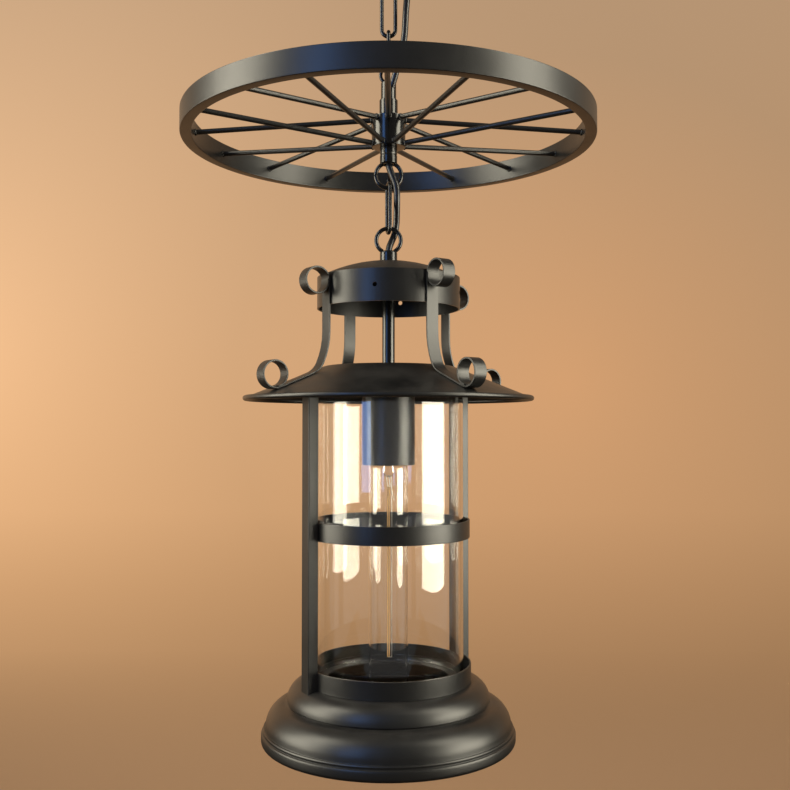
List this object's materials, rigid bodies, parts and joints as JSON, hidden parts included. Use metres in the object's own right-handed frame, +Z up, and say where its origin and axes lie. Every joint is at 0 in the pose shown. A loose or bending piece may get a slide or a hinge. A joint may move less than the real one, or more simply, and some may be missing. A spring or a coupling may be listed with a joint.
{
  "type": "wagon wheel chandelier",
  "caption": "Lantern with a glass cylinder and tubular bulb, hung by chain under a spoked wheel that hangs by chain from a ceiling canopy.",
  "frame": {"origin": "point of the ceiling on the fitting's axis, in the canopy's rim plane and at the centre of the bracket's bolt holes", "axes": "+Z up into the ceiling, -Y the front as pictured, +X to the right seen from the front"},
  "size_m": [0.4, 0.4, 0.7789],
  "materials": {
    "black_paint": "satin black powder coat",
    "zinc_steel": "zinc plated",
    "black_plastic": "moulded",
    "white_plastic": "moulded",
    "lead_sheath": "extruded",
    "cable_sheath": "smooth sheath",
    "white_ceramic": "glazed ceramic",
    "brass": "drawn",
    "clear_glass": "clear",
    "bulb_glass": "clear",
    "amber_filament": "coated filament",
    "support_wire": "bare"
  },
  "bodies": {
    "ceiling": {"ceiling_bracket": "zinc_steel", "canopy": "black_paint", "canopy_screws": "black_paint", "canopy_loop": "black_paint", "canopy_nut": "zinc_steel", "cord_grip": "black_plastic", "terminal_block": "white_plastic", "canopy_leads": "lead_sheath", "cable_in_canopy": "cable_sheath", "cable_upper": "cable_sheath"},
    "link_1": {"chain_link_1": "black_paint"},
    "link_2": {"chain_link_2": "black_paint"},
    "wheel": {"hub_top_loop": "black_paint", "hub_body": "black_paint", "hub_stud": "zinc_steel", "hub_lower_loop": "black_paint", "wheel_rim": "black_paint", "upper_spokes": "black_paint", "lower_spokes": "black_paint", "cable_in_hub": "cable_sheath", "cable_lower": "cable_sheath"},
    "link_3": {"chain_link_3": "black_paint"},
    "lantern": {"lantern_loop": "black_paint", "threaded_tube": "zinc_steel", "tube_nuts": "zinc_steel", "spacer_tube": "black_paint", "cable_in_tube": "cable_sheath", "dome_cap": "black_paint", "collar": "black_paint", "roof": "black_paint", "socket_cup": "black_paint", "lampholder": "white_ceramic", "screw_shell": "brass", "holder_contact": "brass", "glass_cylinder": "clear_glass", "middle_band": "black_paint", "lower_cup": "black_paint", "glass_seat": "black_paint", "base": "black_paint", "side_bar_1": "black_paint", "side_bar_2": "black_paint", "strap_1": "black_paint", "strap_2": "black_paint", "strap_3": "black_paint", "strap_4": "black_paint"},
    "bulb_cap": {"bulb_cap": "brass", "bulb_insulator": "black_plastic", "bulb_tip": "brass"},
    "bulb": {"bulb_glass": "bulb_glass", "bulb_stem": "bulb_glass", "filament": "amber_filament", "filament_supports": "support_wire"}
  },
  "joints": [
    {"name": "link_1_swing", "type": "hinge", "parent": "ceiling", "child": "link_1", "pos_m": [0, 0, -0.054], "axis": [0, 1, 0], "range_deg": [-15, 15], "deforming": ["cable_upper"]},
    {"name": "link_2_swing", "type": "hinge", "parent": "link_1", "child": "link_2", "pos_m": [0, 0, -0.09785], "axis": [1, 0, 0], "range_deg": [-15, 15], "deforming": ["cable_upper"]},
    {"name": "wheel_swing", "type": "hinge", "parent": "link_2", "child": "wheel", "pos_m": [0, 0, -0.13275], "axis": [0, 1, 0], "range_deg": [-15, 15], "deforming": ["cable_upper"]},
    {"name": "link_3_swing", "type": "hinge", "parent": "wheel", "child": "link_3", "pos_m": [0, 0, -0.2478], "axis": [1, 0, 0], "range_deg": [-15, 15], "deforming": ["cable_lower"]},
    {"name": "lantern_swing", "type": "hinge", "parent": "link_3", "child": "lantern", "pos_m": [0, 0, -0.29165], "axis": [-0.225, 0.9744, 0], "range_deg": [-15, 15], "deforming": ["cable_lower"]},
    {"name": "bulb_unscrew", "type": "slide", "parent": "lantern", "child": "bulb_cap", "axis": [0, 0, -1], "range_m": [0, 0.01267]},
    {"name": "bulb_turn", "type": "hinge", "parent": "bulb_cap", "child": "bulb", "pos_m": [0, 0, -0.4992], "axis": [0, 0, -1], "range_deg": [-2, 1262]}
  ],
  "couplings": [
    {"joint": "bulb_turn", "follows": "bulb_unscrew", "rad_per_m": 1735.7}
  ]
}
